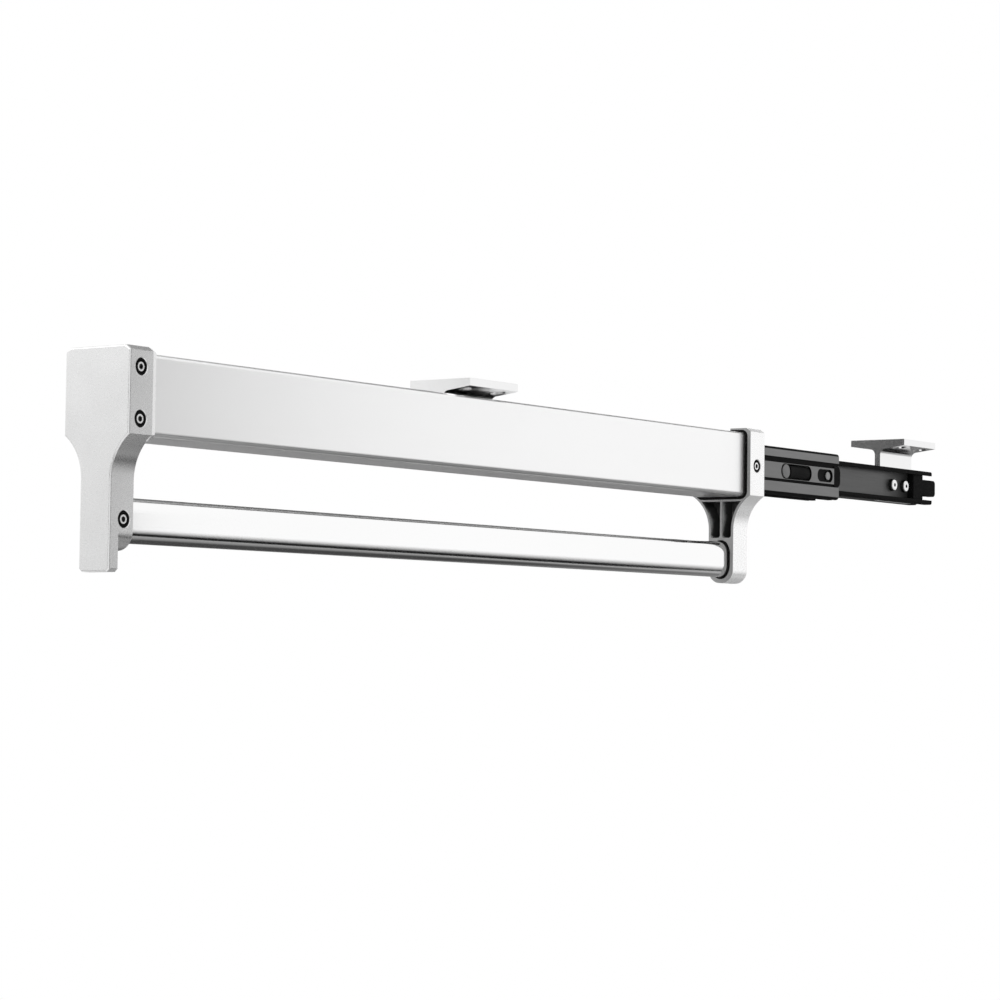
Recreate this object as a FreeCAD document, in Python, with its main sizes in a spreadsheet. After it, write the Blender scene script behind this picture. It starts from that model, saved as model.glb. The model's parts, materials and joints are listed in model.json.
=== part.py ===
import FreeCAD, Part
import math
import os
import re
import Sketcher
from FreeCAD import Rotation, Vector

# A pull-out clothes rail that hangs from a wardrobe's top panel, half pulled out.
# X is across the rail, Y runs back along it, Z is up. The origin lies on the panel's
# underside, midway between the two hangers. All sizes are millimetres.

DIMENSIONS = [
    # Hangers
    ("hanger_spacing", 477.4, "centre of one hanger to centre of the other"),
    ("hanger_length", 43.2, "hanger along the rail"),
    ("hanger_width", 39.6, "hanger plate across the rail"),
    ("hanger_edge", 4.2, "plate thickness at its edge"),
    ("hanger_root", 6.0, "plate thickness where its fillet begins"),
    ("hanger_fillet", 4.0, "fillet between plate and web"),
    ("web_thickness", 4.0, "hanger web that goes down into the beam"),
    ("panel_hole_across", 26.0, "screw holes across the plate"),
    ("panel_hole_along", 28.0, "screw holes along the plate"),
    ("panel_hole_bore", 4.6, "screw hole"),
    ("panel_hole_sink", 8.6, "countersink at the plate's underside"),
    ("panel_sink_depth", 2.2, "depth of that countersink"),
    # Beam
    ("beam_top", 9.2, "panel to the beam's top"),
    ("beam_height", 38.6, "beam, outside"),
    ("beam_width", 33.2, "beam, outside"),
    ("beam_wall", 1.4, "sides and floor of the beam"),
    ("beam_roof", 2.8, "top of the beam, beside its slot"),
    ("beam_top_round", 2.2, "outer radius of the beam's upper corners"),
    ("beam_low_round", 3.0, "outer radius of the beam's lower corners"),
    ("beam_rear_inset", 1.0, "beam's rear end before the rear bracket's back"),
    ("slot_width", 7.4, "slot in the beam's top for the hanger webs"),
    # Slides
    ("channel_fit", 0.1, "outer channel to the beam's inside"),
    ("outer_wall", 1.0, "outer channel's flanges"),
    ("outer_web", 1.2, "outer channel's web"),
    ("outer_reach", 11.4, "outer channel across the rail"),
    ("outer_ball_gap", 1.5, "outer channel's flange to middle channel's flange"),
    ("outer_cage_gap", 1.5, "outer channel's web to middle channel's web"),
    ("middle_wall", 1.2, "middle channel's sheet"),
    ("middle_reach", 7.9, "middle channel across the rail"),
    ("middle_bend", 2.2, "outer radius of the middle channel's bends"),
    ("middle_length", 520.0, "middle channel along the rail"),
    ("middle_inset", 12.0, "middle channel's rear end before the fixed one's, when shut"),
    ("bead_depth", 0.6, "pressed lines along the middle channel's web"),
    ("bead_low", 1.8, "height of the lower pressed line"),
    ("bead_high", 3.4, "height of the upper pressed line"),
    ("band_height", 10.0, "flat band between the pressed lines"),
    ("inner_ball_gap", 2.4, "middle channel's flange to fixed channel's flange"),
    ("fixed_wall", 1.2, "fixed channel's sheet"),
    ("fixed_reach", 7.0, "fixed channel across the rail"),
    ("fixed_bend", 1.6, "outer radius of the fixed channel's bends"),
    ("fixed_lip", 2.8, "lips rolled in at the fixed channel's flanges"),
    ("fixed_front", 10.0, "fixed channel in front of the front hanger"),
    ("fixed_rear", 16.0, "fixed channel behind the rear hanger"),
    # Bolts through the fixed channels and the hanger webs
    ("bolt_pitch", 16.0, "two bolts at each hanger"),
    ("bolt_shank", 4.0, "bolt diameter"),
    ("bolt_clearance", 0.2, "bolt to its hole, on the diameter"),
    ("bolt_head", 8.0, "bolt head diameter"),
    ("bolt_head_height", 2.6, "bolt head height"),
    ("bolt_dome", 1.1, "rounding of the bolt head's rim"),
    ("bolt_key", 2.6, "hexagon in the bolt head, across corners"),
    ("bolt_tail", 0.8, "bolt end past its nut"),
    ("nut_corners", 8.0, "nut, across corners"),
    ("nut_height", 3.2, "nut height"),
    # Rear stops on the fixed channels
    ("stop_height", 10.8, "stop block's height"),
    ("stop_depth", 4.4, "stop block across the rail"),
    ("stop_length", 31.0, "stop block along the rail"),
    ("stop_out", 7.6, "stop block past the channel's end"),
    ("stop_round", 2.4, "corner radius of the stop block"),
    ("notch_length", 10.0, "notches beside the stop"),
    # Balls and cages
    ("ball_clearance", 0.1, "ball to its track, each side"),
    ("track_depth", 0.5, "ball track in the middle channel's flange"),
    ("ball_count_pitch", 21.0, "one ball to the next"),
    ("cage_length", 170.0, "ball cage along the rail"),
    ("cage_sheet", 0.5, "sheet of the cages"),
    ("cage_end", 11.5, "cage end to its first ball"),
    ("inner_cage_shift", 24.0, "inner cage's middle before the fixed channel's, when shut"),
    ("inner_ball_inset", 4.4, "inner balls from the hanger web's face"),
    ("outer_ball_inset", 3.9, "outer balls from the middle channel's face"),
    # Latch and bumper in the middle channel's rear end
    ("bumper_length", 8.0, "end bumper along the rail"),
    ("bumper_out", 1.8, "end bumper past the channel's end"),
    ("bumper_height", 13.2, "end bumper's height"),
    ("bumper_round", 3.8, "corner radius of the bumper's rear"),
    ("window_length", 37.4, "latch window along the rail"),
    ("window_height", 9.4, "latch window's height"),
    ("window_inset", 34.4, "latch window's rear end before the channel's end"),
    ("port_length", 19.2, "rivet port along the rail"),
    ("port_height", 8.0, "rivet port's height"),
    ("port_inset", 7.9, "rivet port's rear end before the channel's end"),
    ("latch_sheet", 1.6, "latch block behind the web"),
    ("latch_bulge", 0.9, "latch block's swell into its window"),
    ("latch_margin", 4.0, "latch block past its openings"),
    ("disc_inset", 2.0, "latch disc's middle behind that of the window's round front end"),
    ("disc_diameter", 9.0, "latch disc in the window"),
    ("disc_sheet", 1.0, "latch disc's thickness"),
    ("rivet_inset", 5.4, "latch rivet's middle before the port's rear end"),
    ("rivet_diameter", 5.4, "latch rivet's head"),
    ("rivet_height", 1.0, "latch rivet's head"),
    # Brackets
    ("carriage_length", 559.0, "front face to the rear bracket's back"),
    ("pull_out", 240.9, "front hanger to the front bracket's lip, as photographed"),
    ("closing_gap", 0.9, "what is left of that when shut"),
    ("bracket_width", 40.4, "both brackets"),
    ("bracket_top", 6.5, "panel to the brackets' tops"),
    ("bracket_height", 40.7, "upper block of both brackets"),
    ("bracket_chamfer", 3.0, "top edges of both brackets, across the rail"),
    ("bracket_chamfer_drop", 2.2, "the same edges, downwards"),
    ("throat_gap", 7.4, "hollow below the upper block, from its lower end to the bar"),
    ("front_depth", 15.5, "front bracket along the rail, without its lip"),
    ("front_wall", 4.2, "front bracket's face wall"),
    ("lip_length", 3.0, "lip round the beam behind the front bracket"),
    ("lip_taper", 1.0, "what the lip narrows by on each side"),
    ("lip_drop", 3.0, "lip below the upper block"),
    ("edge_round", 0.8, "rounding round the front face"),
    ("tongue_width", 18.9, "neck and pull tongue"),
    ("tongue_depth", 5.9, "pull tongue along the rail"),
    ("tongue_bottom", 110.0, "panel to the tongue's end"),
    ("tongue_chamfer", 1.6, "corners of the tongue"),
    ("rear_depth", 16.7, "rear bracket along the rail"),
    ("rear_neck", 17.2, "neck of the rear bracket"),
    ("liner_wall", 1.5, "liner between beam and rear collar"),
    ("pocket_roof", 1.2, "rear bracket between the liner and its pockets"),
    ("pocket_rim", 1.5, "rim round those pockets' sides and lower ends"),
    ("pocket_rib", 1.4, "rib between those pockets"),
    ("pocket_round", 1.6, "lower corners of those pockets"),
    ("pocket_depth", 12.0, "depth of those pockets"),
    ("socket_fit", 0.1, "beam and bar in their sockets"),
    # Clothes bar
    ("bar_centre", 85.7, "panel to the bar's middle"),
    ("bar_height", 21.4, "bar, outside"),
    ("bar_width", 11.0, "bar, outside"),
    ("bar_shoulder", 10.2, "radius at which the bar's flat sides begin to turn"),
    ("bar_wall", 1.5, "wall of the bar"),
    ("boss_wall", 3.5, "bracket below the bar"),
    ("boss_flat", 1.0, "flat between the rounded corners of the brackets' lower ends"),
    ("bar_front_seat", 9.0, "bar in the front bracket"),
    ("bar_rear_seat", 12.0, "bar in the rear bracket"),
    ("bar_shadow_gap", 1.0, "recess round the bar at the rear bracket"),
    ("bar_shadow_depth", 3.0, "depth of that recess"),
    # Side screws
    ("screw_cup", 7.2, "black cup of each side screw"),
    ("screw_cup_depth", 2.4, "cup's depth"),
    ("screw_cup_floor", 0.7, "cup's floor"),
    ("cup_chamfer", 0.6, "chamfer of the bracket round a cup"),
    ("screw_head", 4.4, "screw head"),
    ("screw_head_height", 1.3, "screw head above the cup's floor"),
    ("screw_shank", 3.0, "screw shank"),
    ("screw_key", 2.9, "hexagon in the screw head, across corners"),
    ("screw_key_depth", 0.9, "depth of that hexagon"),
    ("front_screw_drop", 9.7, "front bracket's top to the upper side screw"),
    ("front_screw_pitch", 23.9, "upper side screws, one above the other"),
    ("front_screw_back", 7.8, "side screws behind the front face"),
    ("bar_screw_back", 9.6, "bar's side screws behind the front face"),
]

ROUND = -1
HOLLOW = 1
SIDES = (("right", 1), ("left", -1))
ENDS = ("front", "rear")

doc = FreeCAD.newDocument("pull_out_clothes_rail")
sheet = doc.addObject("Spreadsheet::Sheet", "sizes")
for row, (alias, size, meaning) in enumerate(DIMENSIONS, start=1):
    sheet.set("A%d" % row, meaning)
    sheet.set("B%d" % row, str(size))
    sheet.setAlias("B%d" % row, alias)
doc.recompute()

ALIASES = {alias for alias, size, meaning in DIMENSIONS}


# Sizes as expressions

def qualified(expression):
    """An expression with each size's name replaced by its cell in the sheet."""
    return re.sub(
        r"[a-z_]+",
        lambda word: "sizes." + word.group() if word.group() in ALIASES else word.group(),
        expression,
    )


def bind(thing, place, expression):
    thing.setExpression(place, qualified(expression))


def number(expression):
    return float(sheet.evalExpression(qualified(expression)))


# Outlines, walked clockwise, as (x, z) or (x, z, radius, ROUND or HOLLOW) up to the next point

def mirror(path, side=-1):
    """The path on the other side of the rail, or as it is where side is 1."""
    if side == 1:
        return list(path)
    flipped = []
    for x, z, *arc in path:
        turned_arc = (arc[0], -arc[1]) if arc else ()
        flipped.append(("-(%s)" % x, z) + turned_arc)
    return flipped


def backwards(path):
    """The same open path, walked the other way."""
    walked = []
    for place in range(len(path) - 1, -1, -1):
        x, z = path[place][:2]
        arc = path[place - 1][2:] if place else ()
        walked.append((x, z) + ((arc[0], -arc[1]) if arc else ()))
    return walked


def both_sides(half):
    return half + backwards(mirror(half))


def arc_between(first, last, radius, side):
    chord = last - first
    middle = first + chord * 0.5
    left = Vector(-chord.y, chord.x, 0).normalize()
    to_centre = math.sqrt(max(radius ** 2 - (chord.Length / 2) ** 2, 0))
    return Part.Arc(first, middle - left * side * (radius - to_centre), last)


def draw(sketch, outline):
    """Draws a closed outline whose points and radii are bound to the sheet."""
    points = [Vector(number(x), number(z), 0) for x, z, *arc in outline]
    following = points[1:] + points[:1]
    starts = []
    for line, (corner, first, last) in enumerate(zip(outline, points, following)):
        if len(corner) == 2:
            sketch.addGeometry(Part.LineSegment(first, last))
        else:
            sketch.addGeometry(arc_between(first, last, number(corner[2]), corner[3]))
        starts.append(1 if sketch.getPoint(line, 1).isEqual(first, 1e-6) else 2)
    for line, corner in enumerate(outline):
        after = (line + 1) % len(outline)
        sketch.addConstraint(
            Sketcher.Constraint("Coincident", line, 3 - starts[line], after, starts[after])
        )
    for line, corner in enumerate(outline):
        for kind, axis, size in (("DistanceX", -2, corner[0]), ("DistanceY", -1, corner[1])):
            if size == "0":
                sketch.addConstraint(
                    Sketcher.Constraint("PointOnObject", line, starts[line], axis)
                )
                continue
            made = sketch.addConstraint(
                Sketcher.Constraint(kind, -1, 1, line, starts[line], number(size))
            )
            bind(sketch, "Constraints[%d]" % made, size)
        if len(corner) > 2:
            made = sketch.addConstraint(Sketcher.Constraint("Radius", line, number(corner[2])))
            bind(sketch, "Constraints[%d]" % made, corner[2])


# Solids

def add_sketch(body, name, outline):
    sketch = body.newObject("Sketcher::SketchObject", name + "_outline")
    plane = next(f for f in body.Origin.OriginFeatures if f.Role == "XZ_Plane")
    sketch.AttachmentSupport = [(plane, "")]
    sketch.MapMode = "FlatFace"
    draw(sketch, outline)
    return sketch


def add_pad(body, name, outline, start, length):
    """Adds an outline across the rail to a body, run back along the rail from start."""
    sketch = add_sketch(body, name, outline)
    bind(sketch, "AttachmentOffset.Base.z", "-(%s)" % start)
    pad = body.newObject("PartDesign::Pad", name + "_run")
    pad.Profile = sketch
    pad.Reversed = True
    bind(pad, "Length", length)
    return pad


def prism(name, outline, start, length):
    body = doc.addObject("PartDesign::Body", name)
    add_pad(body, name, outline, "0", length)
    bind(body, "Placement.Base.y", start)
    return body


def turned(name, outline, y, z):
    """A body turned about a line across the rail, from an outline of (x, radius)."""
    body = doc.addObject("PartDesign::Body", name)
    sketch = add_sketch(body, name, outline)
    turn = body.newObject("PartDesign::Revolution", name + "_turn")
    turn.Profile = sketch
    turn.ReferenceAxis = (sketch, ["H_Axis"])
    turn.Angle = 360
    bind(body, "Placement.Base.y", y)
    bind(body, "Placement.Base.z", z)
    return body


def place(thing, x, y, z):
    for axis, size in (("x", x), ("y", y), ("z", z)):
        bind(thing, "Placement.Base." + axis, size)
    return thing


def box(name, x, y, z, length, depth, height):
    block = doc.addObject("Part::Box", name)
    for side, size in (("Length", length), ("Width", depth), ("Height", height)):
        bind(block, side, size)
    return place(block, x, y, z)


def rod(name, radius, length, direction, x, y, z):
    cylinder = doc.addObject("Part::Cylinder", name)
    bind(cylinder, "Radius", radius)
    bind(cylinder, "Height", length)
    cylinder.Placement.Rotation = Rotation(Vector(0, 0, 1), direction)
    return place(cylinder, x, y, z)


def hexagon(name, corners, length, x, y, z):
    """A six-sided bar that runs across the rail."""
    bar = doc.addObject("Part::Prism", name)
    bar.Polygon = 6
    bind(bar, "Circumradius", "(%s) / 2" % corners)
    bind(bar, "Height", length)
    bar.Placement.Rotation = Rotation(Vector(0, 0, 1), ACROSS)
    return place(bar, x, y, z)


def fuse(name, pieces):
    joined = doc.addObject("Part::MultiFuse", name)
    joined.Shapes = pieces
    return joined


def cut(name, base, tools):
    result = doc.addObject("Part::Cut", name)
    result.Base = base
    result.Tool = tools[0] if len(tools) == 1 else fuse(name + "_tools", tools)
    return result


def group(name, pieces):
    """Like pieces that are kept together, each its own solid."""
    together = doc.addObject("Part::Compound", name)
    together.Links = pieces
    return together


ACROSS = Vector(1, 0, 0)
UP = Vector(0, 0, 1)
nodes = []


def node(thing, label):
    thing.Label = label
    nodes.append(thing)


# Places that several pieces share

HANGER_Y = {"front": "-hanger_spacing / 2", "rear": "hanger_spacing / 2"}
LIP_END = "(-hanger_spacing / 2 - hanger_length / 2 - pull_out)"
FRONT_FACE = "(%s - lip_length - front_depth)" % LIP_END
CARRIAGE_REAR = "(%s + carriage_length)" % FRONT_FACE
REAR_FACE = "(%s - rear_depth)" % CARRIAGE_REAR
TRAVEL_IN = "(pull_out - closing_gap)"
FIXED_START = "(-hanger_spacing / 2 - hanger_length / 2 - fixed_front)"
FIXED_END = "(hanger_spacing / 2 + hanger_length / 2 + fixed_rear)"
MIDDLE_END = "(%s - middle_inset - %s / 2)" % (FIXED_END, TRAVEL_IN)
BEAM_BOTTOM = "(-beam_top - beam_height)"
BEAM_HALF = "((beam_height - beam_roof - beam_wall) / 2)"
SLIDE_Z = "(%s + beam_wall + %s)" % (BEAM_BOTTOM, BEAM_HALF)
WEB_FACE = "(web_thickness / 2)"
OUTER_HALF = "(%s - channel_fit)" % BEAM_HALF
OUTER_FACE = "(beam_width / 2 - beam_wall - channel_fit)"
MIDDLE_HALF = "(%s - outer_wall - outer_ball_gap)" % OUTER_HALF
MIDDLE_FACE = "(%s - outer_web - outer_cage_gap)" % OUTER_FACE
FIXED_HALF = "(%s - middle_wall - inner_ball_gap)" % MIDDLE_HALF
BEAM_START = "(%s + front_wall)" % FRONT_FACE
BEAM_LENGTH = "(carriage_length - front_wall - beam_rear_inset)"
SHOULDER = "(-bracket_top - bracket_height)"
BAR_TOP = "(-bar_centre + bar_height / 2)"
THROAT_LOW = "(%s + throat_gap)" % BAR_TOP
BOSS_BOTTOM = "(-bar_centre - bar_height / 2 - boss_wall)"
BRACKET_SIDE = "(bracket_width / 2)"
NECK_SIDE = "(tongue_width / 2)"
# Degrees by which the bar's wide arcs turn, and the radius of the narrow arcs that take over there
BAR_TURN = 30
BAR_NOSE = "((bar_width / 2 - bar_shoulder * (1 - cos(%d))) / cos(%d))" % (BAR_TURN, BAR_TURN)
COLLAR_SLOT = "(web_thickness + 2 * hanger_fillet)"
BOLT_Y = {
    end: ["%s + %d * bolt_pitch / 2" % (HANGER_Y[end], step) for step in (-1, 1)] for end in ENDS
}
BALL_COUNT = int(round((number("cage_length") - 2 * number("cage_end")) / number("ball_count_pitch"))) + 1


# Outlines that several pieces share

def level(offset):
    """A height measured from the slides' middle."""
    return "%s + (%s)" % (SLIDE_Z, offset)


def channel(half, face, reach, wall, web, bend, inward, lip=None):
    """One slide channel: a web with a flange above and below it, open to the middle or outwards.

    Where there is a lip, the ends of the flanges are rolled in by so much.
    """
    inner_bend = "(%s) - (%s)" % (bend, wall)
    tip = "%s %s (%s)" % (face, "-" if inward else "+", reach)
    turn = "%s %s (%s)" % (face, "-" if inward else "+", bend)
    back = "%s %s (%s)" % (face, "-" if inward else "+", web)
    inside = "%s %s (%s) %s (%s)" % (face, "-" if inward else "+", web, "-" if inward else "+", inner_bend)
    upper = [
        (tip, level(half)),
        (turn, level(half), bend, ROUND),
        (face, level("%s - (%s)" % (half, bend))),
    ]
    lower = [
        (face, level("-%s + (%s)" % (half, bend)), bend, ROUND),
        (turn, level("-" + half)),
        (tip, level("-" + half)),
    ]
    hollow = [
        (tip, level("-%s + (%s)" % (half, wall))),
        (inside, level("-%s + (%s)" % (half, wall)), inner_bend, HOLLOW),
        (back, level("-%s + (%s) + (%s)" % (half, wall, inner_bend))),
        (back, level("%s - (%s) - (%s)" % (half, wall, inner_bend)), inner_bend, HOLLOW),
        (inside, level("%s - (%s)" % (half, wall))),
        (tip, level("%s - (%s)" % (half, wall))),
    ]
    if lip:
        lip_turn = "%s %s (%s)" % (tip, "+" if inward else "-", wall)
        upper[:1] = [(tip, level("%s - (%s)" % (half, wall)), wall, ROUND), (lip_turn, level(half))]
        lower[2:] = [(lip_turn, level("-" + half), wall, ROUND), (tip, level("-%s + (%s)" % (half, wall)))]
        hollow[:1] = [
            (tip, level("-%s + (%s)" % (half, lip))),
            (lip_turn, level("-%s + (%s)" % (half, lip))),
            (lip_turn, level("-%s + (%s)" % (half, wall))),
        ]
        hollow[-1:] = [
            (lip_turn, level("%s - (%s)" % (half, wall))),
            (lip_turn, level("%s - (%s)" % (half, lip))),
            (tip, level("%s - (%s)" % (half, lip))),
        ]
    outline = upper + lower + hollow
    if inward:
        return outline
    return [(x, z) + ((arc[0], -arc[1]) if arc else ()) for x, z, *arc in outline]


def sleeve_half(grow, rise=None, slot="slot_width"):
    """The right half of the beam's outside, grown by so much, and at its top by the rise."""
    side = "beam_width / 2 + (%s)" % grow
    top = "-beam_top + (%s)" % (rise or grow)
    bottom = "%s - (%s)" % (BEAM_BOTTOM, grow)
    top_round = "beam_top_round + (%s)" % grow
    low_round = "beam_low_round + (%s)" % grow
    return [
        ("%s / 2" % slot, top),
        ("%s - (%s)" % (side, top_round), top, top_round, ROUND),
        (side, "%s - (%s)" % (top, top_round)),
        (side, "%s + (%s)" % (bottom, low_round), low_round, ROUND),
        ("%s - (%s)" % (side, low_round), bottom),
    ]


def slotted_sleeve(outside_half, inside_half):
    """A sleeve with a slot along its top, from the right halves of its outside and inside."""
    return both_sides(outside_half) + backwards(both_sides(inside_half))


def bar_section(grow):
    """The bar's flat oval, grown by so much, whose flat sides turn by a wide and then a narrow arc."""
    wide = "(bar_shoulder + (%s))" % grow
    narrow = "(%s + (%s))" % (BAR_NOSE, grow)
    side = "(bar_width / 2 + (%s))" % grow
    reach = "(bar_height / 2 + (%s))" % grow
    flat = "(bar_height / 2 - %s - (bar_shoulder - %s) * sin(%d))" % (BAR_NOSE, BAR_NOSE, BAR_TURN)
    turn_x = "(%s * cos(%d))" % (narrow, BAR_TURN)
    turn_z = "(%s + %s * sin(%d))" % (flat, wide, BAR_TURN)
    half = [
        ("0", "-bar_centre + %s" % reach, narrow, ROUND),
        (turn_x, "-bar_centre + %s" % turn_z, wide, ROUND),
        (side, "-bar_centre + %s" % flat),
        (side, "-bar_centre - %s" % flat, wide, ROUND),
        (turn_x, "-bar_centre - %s" % turn_z, narrow, ROUND),
        ("0", "-bar_centre - %s" % reach),
    ]
    left = backwards(mirror(half))
    return half[:-1] + [("0", half[-1][1]) + left[0][2:]] + left[1:-1]


def throat_radius(neck):
    """The radius at which the hollow below the upper block runs smoothly into the neck's side."""
    across = "(%s - (%s) / 2)" % (BRACKET_SIDE, neck)
    drop = "(%s - %s)" % (SHOULDER, THROAT_LOW)
    return "((%s ^ 2 + %s ^ 2) / (2 * %s))" % (across, drop, across)


def bracket_half(neck, ending):
    """The right half of a bracket seen from the front, down to the ending's points."""
    return [
        ("%s - bracket_chamfer" % BRACKET_SIDE, "-bracket_top"),
        (BRACKET_SIDE, "-bracket_top - bracket_chamfer_drop"),
        (BRACKET_SIDE, SHOULDER, throat_radius(neck), HOLLOW),
        ("(%s) / 2" % neck, THROAT_LOW),
    ] + ending


def boss_ending(neck):
    radius = "((%s) / 2 - boss_flat / 2)" % neck
    return [
        ("(%s) / 2" % neck, "%s + %s" % (BOSS_BOTTOM, radius), radius, ROUND),
        ("boss_flat / 2", BOSS_BOTTOM),
    ]


# Hangers and what is fixed to them

def hanger(end):
    half = [
        ("hanger_width / 2", "0"),
        ("hanger_width / 2", "-hanger_edge"),
        ("%s + hanger_fillet" % WEB_FACE, "-hanger_root", "hanger_fillet", HOLLOW),
        (WEB_FACE, "-hanger_root - hanger_fillet"),
        (WEB_FACE, "%s - %s" % (SLIDE_Z, FIXED_HALF)),
    ]
    name = end + "_hanger"
    middle = HANGER_Y[end]
    tee = prism(name + "_tee", both_sides(half), "%s - hanger_length / 2" % middle, "hanger_length")
    slope = "(hanger_root - hanger_edge) / (hanger_width / 2 - %s - hanger_fillet)" % WEB_FACE
    underside = "-hanger_edge - (hanger_width - panel_hole_across) / 2 * %s" % slope
    tools = []
    for across in (-1, 1):
        for along in (-1, 1):
            x = "%d * panel_hole_across / 2" % across
            y = "%s + %d * panel_hole_along / 2" % (middle, along)
            bore = "panel_hole_bore / 2"
            tools.append(rod(name + "_bore", bore, "2 * hanger_root", UP, x, y, "-1.5 * hanger_root"))
            sink = doc.addObject("Part::Cone", name + "_sink")
            bind(sink, "Radius1", "panel_hole_sink - panel_hole_bore / 2")
            bind(sink, "Radius2", bore)
            bind(sink, "Height", "2 * panel_sink_depth")
            tools.append(place(sink, x, y, "%s - panel_sink_depth" % underside))
    for bolt_y in BOLT_Y[end]:
        tools.append(
            rod(
                name + "_bolt_hole", "(bolt_shank + bolt_clearance) / 2", "2 * web_thickness", ACROSS,
                "-web_thickness", bolt_y, SLIDE_Z,
            )
        )
    node(cut(name, tee, tools), name)


def fixed_channel(name, side):
    label = "fixed_channel_" + name
    section = channel(
        FIXED_HALF, WEB_FACE, "fixed_reach", "fixed_wall", "fixed_wall", "fixed_bend", False, "fixed_lip"
    )
    run = prism(label + "_run", mirror(section, side), FIXED_START, "%s - %s" % (FIXED_END, FIXED_START))
    tools = []
    for bolt_y in BOLT_Y["front"] + BOLT_Y["rear"]:
        tools.append(
            rod(
                label + "_bolt_hole", "(bolt_shank + bolt_clearance) / 2", "4 * web_thickness", ACROSS,
                "-2 * web_thickness", bolt_y, SLIDE_Z,
            )
        )
    notch_height = "(%s - fixed_bend - stop_height / 2)" % FIXED_HALF
    notch_reach = "(%s + 2 * fixed_wall)" % WEB_FACE
    for upper in (0, 1):
        low = level("stop_height / 2") if upper else level("-%s + fixed_bend" % FIXED_HALF)
        tools.append(
            box(
                label + "_notch", "-" + notch_reach, "%s - notch_length" % FIXED_END, low,
                "2 * " + notch_reach, "2 * notch_length", notch_height,
            )
        )
    node(cut(label, run, tools), label)


def rear_stop(name, side):
    label = "channel_rear_stop_" + name
    end = "(%s + stop_out)" % FIXED_END
    low_x = "%s + fixed_wall" % WEB_FACE
    if side < 0:
        low_x = "-(%s + fixed_wall) - stop_depth" % WEB_FACE
    block = box(
        label + "_block", low_x, "%s - stop_length" % end, level("-stop_height / 2"),
        "stop_depth", "stop_length - stop_round", "stop_height",
    )
    nose = box(
        label + "_nose", low_x, "%s - stop_length" % end, level("-stop_height / 2 + stop_round"),
        "stop_depth", "stop_length", "stop_height - 2 * stop_round",
    )
    shoulder_half = "(%s - fixed_bend)" % FIXED_HALF
    shoulder = box(
        label + "_shoulder", low_x, "%s - stop_length" % end, level("-" + shoulder_half),
        "stop_depth", "stop_length - stop_out - notch_length", "2 * " + shoulder_half,
    )
    corners = [
        rod(
            label + "_corner", "stop_round", "stop_depth", ACROSS, low_x, "%s - stop_round" % end,
            level("%d * (stop_height / 2 - stop_round)" % upper),
        )
        for upper in (-1, 1)
    ]
    node(fuse(label, [block, nose, shoulder] + corners), label)


def channel_bolts():
    seat = "%s + fixed_wall" % WEB_FACE
    bolts = []
    nuts = []
    for bolt_y in BOLT_Y["front"] + BOLT_Y["rear"]:
        outline = [
            ("-(%s) - nut_height - bolt_tail" % seat, "0"),
            ("-(%s) - nut_height - bolt_tail" % seat, "bolt_shank / 2"),
            (seat, "bolt_shank / 2"),
            (seat, "bolt_head / 2"),
            ("%s + bolt_head_height - bolt_dome" % seat, "bolt_head / 2", "bolt_dome", ROUND),
            ("%s + bolt_head_height" % seat, "bolt_head / 2 - bolt_dome"),
            ("%s + bolt_head_height" % seat, "0"),
        ]
        blank = turned("channel_bolt_blank", outline, bolt_y, SLIDE_Z)
        key = hexagon(
            "channel_bolt_key", "bolt_key", "bolt_head_height", "%s + bolt_head_height / 2" % seat,
            bolt_y, SLIDE_Z,
        )
        bolts.append(cut("channel_bolt", blank, [key]))
        blank = hexagon(
            "channel_nut_blank", "nut_corners", "nut_height", "-(%s) - nut_height" % seat, bolt_y, SLIDE_Z,
        )
        bore = rod(
            "channel_nut_bore", "bolt_shank / 2", "2 * nut_height", ACROSS,
            "-(%s) - 1.5 * nut_height" % seat, bolt_y, SLIDE_Z,
        )
        nuts.append(cut("channel_nut", blank, [bore]))
    node(group("channel_bolts", bolts), "channel_bolts")
    node(group("channel_nuts", nuts), "channel_nuts")


# Middle channels with their latch and bumper

def slot_tool(name, side, length, height, inset):
    """A round-ended opening through the middle channel's web."""
    rear = "(%s - (%s))" % (MIDDLE_END, inset)
    radius = "(%s) / 2" % height
    low_x = "%d * (%s - middle_wall / 2) - middle_wall" % (side, MIDDLE_FACE)
    straight = box(
        name + "_straight", low_x, "%s - (%s) + %s" % (rear, length, radius), level("-(%s)" % radius),
        "2 * middle_wall", "(%s) - (%s)" % (length, height), height,
    )
    ends = [
        rod(name + "_end", radius, "2 * middle_wall", ACROSS, low_x, y, SLIDE_Z)
        for y in ("%s - (%s) + %s" % (rear, length, radius), "%s - %s" % (rear, radius))
    ]
    return fuse(name, [straight] + ends)


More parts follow.
